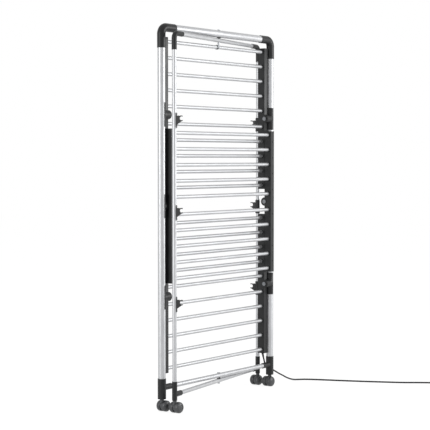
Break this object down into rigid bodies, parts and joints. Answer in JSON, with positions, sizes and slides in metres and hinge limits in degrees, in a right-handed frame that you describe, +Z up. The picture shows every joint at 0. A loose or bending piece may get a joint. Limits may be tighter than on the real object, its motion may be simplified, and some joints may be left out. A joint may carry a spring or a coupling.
{
  "type": "heated clothes airer",
  "caption": "Folded upright clothes airer: two crossing tube frames on castors, heated shelves of round bars turning in side rails, snap clips, strap latch and mains cord.",
  "frame": {"origin": "on the floor, on the upright axis about which both frames turn", "axes": "+Z up, X along the outer frame that carries the shelves, +Y towards its back"},
  "size_m": [1.267, 0.7509, 1.4216],
  "materials": {
    "aluminium_tube": "satin",
    "charcoal_plastic": "fine moulded grain",
    "castor_plastic": "moulded, low sheen",
    "grey_steel": "zinc plated",
    "heating_cable": "silicone sleeve",
    "cord_sheath": "satin PVC sheath",
    "plug_plastic": "moulded"
  },
  "bodies": {
    "outer_frame": {"outer_upright_left": "aluminium_tube", "outer_upright_right": "aluminium_tube", "outer_top_rail": "aluminium_tube", "outer_bottom_rail": "aluminium_tube", "outer_elbow_left": "charcoal_plastic", "outer_elbow_right": "charcoal_plastic", "outer_foot_left": "charcoal_plastic", "outer_foot_right": "charcoal_plastic", "pivot_brackets_left": "charcoal_plastic", "pivot_brackets_right": "charcoal_plastic", "centre_washers": "charcoal_plastic", "pivot_pins": "grey_steel", "centre_bolts": "grey_steel", "mains_cord": "cord_sheath", "cord_coil": "cord_sheath", "cord_tie": "cord_sheath", "mains_plug": "plug_plastic"},
    "inner_frame": {"inner_upright_left": "aluminium_tube", "inner_upright_right": "aluminium_tube", "inner_top_rail": "aluminium_tube", "inner_bottom_rail": "aluminium_tube", "inner_elbow_left": "charcoal_plastic", "inner_elbow_right": "charcoal_plastic", "inner_foot_left": "charcoal_plastic", "inner_foot_right": "charcoal_plastic", "snap_clips_left": "charcoal_plastic", "snap_clips_right": "charcoal_plastic", "clip_rivets": "grey_steel"},
    "top_shelf": {"top_rail_left": "charcoal_plastic", "top_rail_right": "charcoal_plastic", "top_covers": "charcoal_plastic", "top_bars": "aluminium_tube", "top_screws": "grey_steel", "top_heater": "heating_cable"},
    "middle_shelf": {"middle_rail_left": "charcoal_plastic", "middle_rail_right": "charcoal_plastic", "middle_covers": "charcoal_plastic", "middle_bars": "aluminium_tube", "middle_screws": "grey_steel", "middle_heater": "heating_cable"},
    "bottom_shelf": {"bottom_rail_left": "charcoal_plastic", "bottom_rail_right": "charcoal_plastic", "bottom_covers": "charcoal_plastic", "bottom_bars": "aluminium_tube", "bottom_screws": "grey_steel", "bottom_heater": "heating_cable", "cord_strain_relief": "cord_sheath"},
    "latch": {"shelf_latch": "grey_steel"},
    "castor_outer_left": {"castor_fork_outer_left": "castor_plastic"},
    "wheel_a_outer_left": {"wheel_a_outer_left": "castor_plastic"},
    "wheel_b_outer_left": {"wheel_b_outer_left": "castor_plastic"},
    "castor_outer_right": {"castor_fork_outer_right": "castor_plastic"},
    "wheel_a_outer_right": {"wheel_a_outer_right": "castor_plastic"},
    "wheel_b_outer_right": {"wheel_b_outer_right": "castor_plastic"},
    "castor_inner_left": {"castor_fork_inner_left": "castor_plastic"},
    "wheel_a_inner_left": {"wheel_a_inner_left": "castor_plastic"},
    "wheel_b_inner_left": {"wheel_b_inner_left": "castor_plastic"},
    "castor_inner_right": {"castor_fork_inner_right": "castor_plastic"},
    "wheel_a_inner_right": {"wheel_a_inner_right": "castor_plastic"},
    "wheel_b_inner_right": {"wheel_b_inner_right": "castor_plastic"}
  },
  "joints": [
    {"name": "inner_frame_turn", "type": "hinge", "parent": "outer_frame", "child": "inner_frame", "pos_m": [0, 0, 1.38], "axis": [0, 0, 1], "range_deg": [0, 45]},
    {"name": "top_shelf_turn", "type": "hinge", "parent": "outer_frame", "child": "top_shelf", "pos_m": [0, 0, 1.0875], "axis": [1, 0, 0], "range_deg": [0, 90]},
    {"name": "middle_shelf_turn", "type": "hinge", "parent": "outer_frame", "child": "middle_shelf", "pos_m": [0, 0, 0.754], "axis": [1, 0, 0], "range_deg": [-90, 0]},
    {"name": "bottom_shelf_turn", "type": "hinge", "parent": "outer_frame", "child": "bottom_shelf", "pos_m": [0, 0, 0.4205], "axis": [1, 0, 0], "range_deg": [-90, 0]},
    {"name": "latch_swing", "type": "hinge", "parent": "top_shelf", "child": "latch", "pos_m": [0.0095, 0.016, 1.3555], "axis": [1, 0, 0], "range_deg": [0, 100]},
    {"name": "castor_swivel_outer_left", "type": "hinge", "parent": "outer_frame", "child": "castor_outer_left", "pos_m": [-0.35, 0, 0.047], "axis": [0, 0, 1], "continuous": true},
    {"name": "roll_wheel_a_outer_left", "type": "hinge", "parent": "castor_outer_left", "child": "wheel_a_outer_left", "pos_m": [-0.34, 0, 0.0205], "axis": [0, 1, 0], "continuous": true},
    {"name": "roll_wheel_b_outer_left", "type": "hinge", "parent": "castor_outer_left", "child": "wheel_b_outer_left", "pos_m": [-0.34, 0, 0.0205], "axis": [0, 1, 0], "continuous": true},
    {"name": "castor_swivel_outer_right", "type": "hinge", "parent": "outer_frame", "child": "castor_outer_right", "pos_m": [0.35, 0, 0.047], "axis": [0, 0, 1], "continuous": true},
    {"name": "roll_wheel_a_outer_right", "type": "hinge", "parent": "castor_outer_right", "child": "wheel_a_outer_right", "pos_m": [0.34, 0, 0.0205], "axis": [0, 1, 0], "continuous": true},
    {"name": "roll_wheel_b_outer_right", "type": "hinge", "parent": "castor_outer_right", "child": "wheel_b_outer_right", "pos_m": [0.34, 0, 0.0205], "axis": [0, 1, 0], "continuous": true},
    {"name": "castor_swivel_inner_left", "type": "hinge", "parent": "inner_frame", "child": "castor_inner_left", "pos_m": [-0.34816, -0.05826, 0.047], "axis": [0, 0, 1], "continuous": true},
    {"name": "roll_wheel_a_inner_left", "type": "hinge", "parent": "castor_inner_left", "child": "wheel_a_inner_left", "pos_m": [-0.33816, -0.05826, 0.0205], "axis": [0, 1, 0], "continuous": true},
    {"name": "roll_wheel_b_inner_left", "type": "hinge", "parent": "castor_inner_left", "child": "wheel_b_inner_left", "pos_m": [-0.33816, -0.05826, 0.0205], "axis": [0, 1, 0], "continuous": true},
    {"name": "castor_swivel_inner_right", "type": "hinge", "parent": "inner_frame", "child": "castor_inner_right", "pos_m": [0.34816, 0.05826, 0.047], "axis": [0, 0, 1], "continuous": true},
    {"name": "roll_wheel_a_inner_right", "type": "hinge", "parent": "castor_inner_right", "child": "wheel_a_inner_right", "pos_m": [0.33816, 0.05826, 0.0205], "axis": [0, 1, 0], "continuous": true},
    {"name": "roll_wheel_b_inner_right", "type": "hinge", "parent": "castor_inner_right", "child": "wheel_b_inner_right", "pos_m": [0.33816, 0.05826, 0.0205], "axis": [0, 1, 0], "continuous": true}
  ],
  "couplings": [
    {"joint": "middle_shelf_turn", "follows": "top_shelf_turn", "ratio": -0.15}
  ]
}
